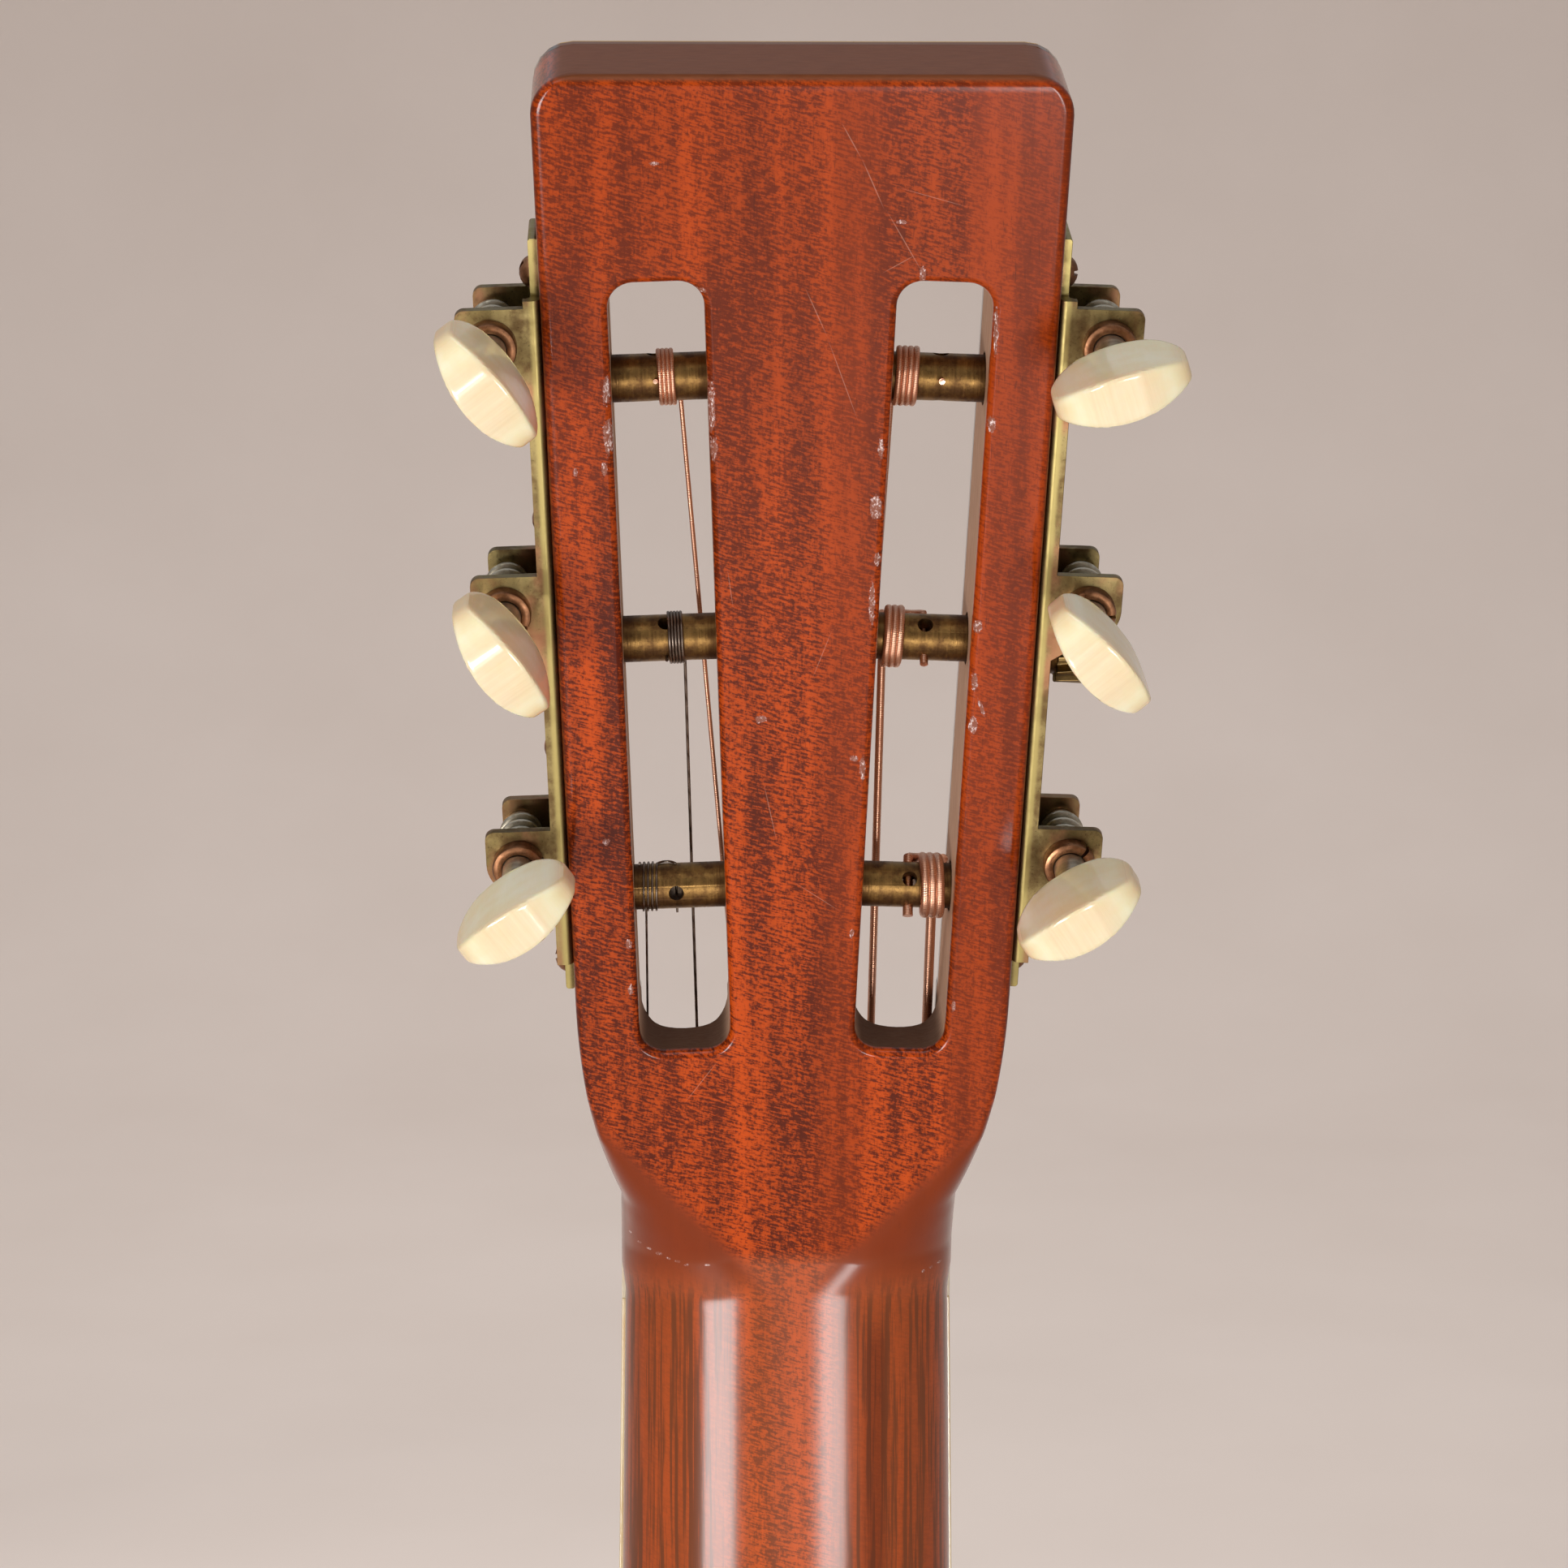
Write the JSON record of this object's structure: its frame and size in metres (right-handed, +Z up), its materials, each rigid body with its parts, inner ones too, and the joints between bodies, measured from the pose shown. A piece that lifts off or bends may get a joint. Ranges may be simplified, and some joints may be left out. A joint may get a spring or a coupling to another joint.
{
  "type": "flat-top guitar",
  "caption": "Steel-string flat-top guitar with slotted headstock, geared side tuners, glued neck and hollow braced body.",
  "frame": {"origin": "on the back of the neck, on the centre line, in the crease where the flat back of the headstock starts; a guitar hanger's fork holds the instrument just above it", "axes": "+Z up the neck towards the headstock, +Y out of the back of the instrument, +X to the treble side, which is on the right seen from the front"},
  "size_m": [0.363, 0.1162, 0.9963],
  "materials": {
    "mahogany": "glossy lacquered mahogany with dark pores and crosswise ripple",
    "body_mahogany": "glossy lacquered mahogany sides and back",
    "inner_mahogany": "bare planed mahogany, dull",
    "head_veneer": "dark rosewood veneer under lacquer",
    "fingerboard_wood": "oiled rosewood, satin",
    "dark_trim": "polished ebony",
    "spruce_top": "aged spruce under gloss lacquer, fine straight grain",
    "brace_spruce": "bare spruce, dull",
    "rosette_wood": "ring inlay of dark and light wood lines",
    "bone": "polished bone",
    "cream_binding": "aged cream celluloid strip",
    "dot_inlay": "pearly inlay dots",
    "pin_plastic": "cream plastic pins",
    "fret_wire": "polished nickel silver wire, worn by strings",
    "bar_steel": "bare steel bar",
    "plate_brass": "tarnished brass with coppery patina",
    "roller_brass": "aged brass, brown towards the top, scratched",
    "gear_brass": "aged brass, bright on the tooth tips",
    "bush_copper": "coppery brass rings and screws, dull patina",
    "worm_steel": "worn nickel-plated steel",
    "button_cream": "aged cream plastic, smooth and slightly waxy",
    "plain_steel": "bright plain steel string",
    "wound_bronze": "bronze winding with fine turns"
  },
  "bodies": {
    "guitar": {"neck": "mahogany", "headplate": "head_veneer", "nut": "bone", "fingerboard": "fingerboard_wood", "fingerboard_binding": "cream_binding", "frets": "fret_wire", "fret_markers": "dot_inlay", "neck_bar": "bar_steel", "heel_cap": "dark_trim", "neck_block": "inner_mahogany", "tail_block": "inner_mahogany", "soundboard": "spruce_top", "rosette": "rosette_wood", "back": "body_mahogany", "side_bass": "body_mahogany", "side_treble": "body_mahogany", "linings": "inner_mahogany", "body_binding": "cream_binding", "top_braces": "brace_spruce", "back_braces": "brace_spruce", "bridge": "dark_trim", "saddle": "bone", "bridge_pins": "pin_plastic", "end_pin": "dark_trim", "tuner_plate_bass": "plate_brass", "tuner_plate_treble": "plate_brass", "worm_bushes": "bush_copper", "plate_screws": "bush_copper", "plain_strings": "plain_steel", "wound_strings": "wound_bronze"},
    "key_1": {"button_1": "button_cream", "worm_1": "worm_steel"},
    "roller_1": {"post_1": "roller_brass", "gear_1": "gear_brass", "winding_1": "plain_steel"},
    "key_2": {"button_2": "button_cream", "worm_2": "worm_steel"},
    "roller_2": {"post_2": "roller_brass", "gear_2": "gear_brass", "winding_2": "plain_steel"},
    "key_3": {"button_3": "button_cream", "worm_3": "worm_steel"},
    "roller_3": {"post_3": "roller_brass", "gear_3": "gear_brass", "winding_3": "wound_bronze"},
    "key_4": {"button_4": "button_cream", "worm_4": "worm_steel"},
    "roller_4": {"post_4": "roller_brass", "gear_4": "gear_brass", "winding_4": "wound_bronze"},
    "key_5": {"button_5": "button_cream", "worm_5": "worm_steel"},
    "roller_5": {"post_5": "roller_brass", "gear_5": "gear_brass", "winding_5": "wound_bronze"},
    "key_6": {"button_6": "button_cream", "worm_6": "worm_steel"},
    "roller_6": {"post_6": "roller_brass", "gear_6": "gear_brass", "winding_6": "wound_bronze"}
  },
  "joints": [
    {"name": "key_1_turn", "type": "hinge", "parent": "guitar", "child": "key_1", "pos_m": [0.03573, 0.01512, 0.05644], "axis": [0, 0.9659, -0.2588], "continuous": true},
    {"name": "roller_1_turn", "type": "hinge", "parent": "guitar", "child": "roller_1", "pos_m": [0.02908, 0.00603, 0.05187], "axis": [0.9993, -0.0094, -0.0351], "continuous": true},
    {"name": "key_2_turn", "type": "hinge", "parent": "guitar", "child": "key_2", "pos_m": [0.037, 0.02423, 0.09042], "axis": [0, 0.9659, -0.2588], "continuous": true},
    {"name": "roller_2_turn", "type": "hinge", "parent": "guitar", "child": "roller_2", "pos_m": [0.03035, 0.01514, 0.08585], "axis": [0.9993, -0.0094, -0.0351], "continuous": true},
    {"name": "key_3_turn", "type": "hinge", "parent": "guitar", "child": "key_3", "pos_m": [0.03828, 0.03333, 0.12439], "axis": [0, 0.9659, -0.2588], "continuous": true},
    {"name": "roller_3_turn", "type": "hinge", "parent": "guitar", "child": "roller_3", "pos_m": [0.03163, 0.02424, 0.11983], "axis": [0.9993, -0.0094, -0.0351], "continuous": true},
    {"name": "key_4_turn", "type": "hinge", "parent": "guitar", "child": "key_4", "pos_m": [-0.03828, 0.03333, 0.12439], "axis": [0, 0.9659, -0.2588], "continuous": true},
    {"name": "roller_4_turn", "type": "hinge", "parent": "guitar", "child": "roller_4", "pos_m": [-0.03163, 0.02424, 0.11983], "axis": [-0.9993, -0.0094, -0.0351], "continuous": true},
    {"name": "key_5_turn", "type": "hinge", "parent": "guitar", "child": "key_5", "pos_m": [-0.037, 0.02423, 0.09042], "axis": [0, 0.9659, -0.2588], "continuous": true},
    {"name": "roller_5_turn", "type": "hinge", "parent": "guitar", "child": "roller_5", "pos_m": [-0.03035, 0.01514, 0.08585], "axis": [-0.9993, -0.0094, -0.0351], "continuous": true},
    {"name": "key_6_turn", "type": "hinge", "parent": "guitar", "child": "key_6", "pos_m": [-0.03573, 0.01512, 0.05644], "axis": [0, 0.9659, -0.2588], "continuous": true},
    {"name": "roller_6_turn", "type": "hinge", "parent": "guitar", "child": "roller_6", "pos_m": [-0.02908, 0.00603, 0.05187], "axis": [-0.9993, -0.0094, -0.0351], "continuous": true}
  ],
  "couplings": [
    {"joint": "roller_1_turn", "follows": "key_1_turn", "ratio": 0.071429},
    {"joint": "roller_2_turn", "follows": "key_2_turn", "ratio": 0.071429},
    {"joint": "roller_3_turn", "follows": "key_3_turn", "ratio": 0.071429},
    {"joint": "roller_4_turn", "follows": "key_4_turn", "ratio": 0.071429},
    {"joint": "roller_5_turn", "follows": "key_5_turn", "ratio": 0.071429},
    {"joint": "roller_6_turn", "follows": "key_6_turn", "ratio": 0.071429}
  ]
}
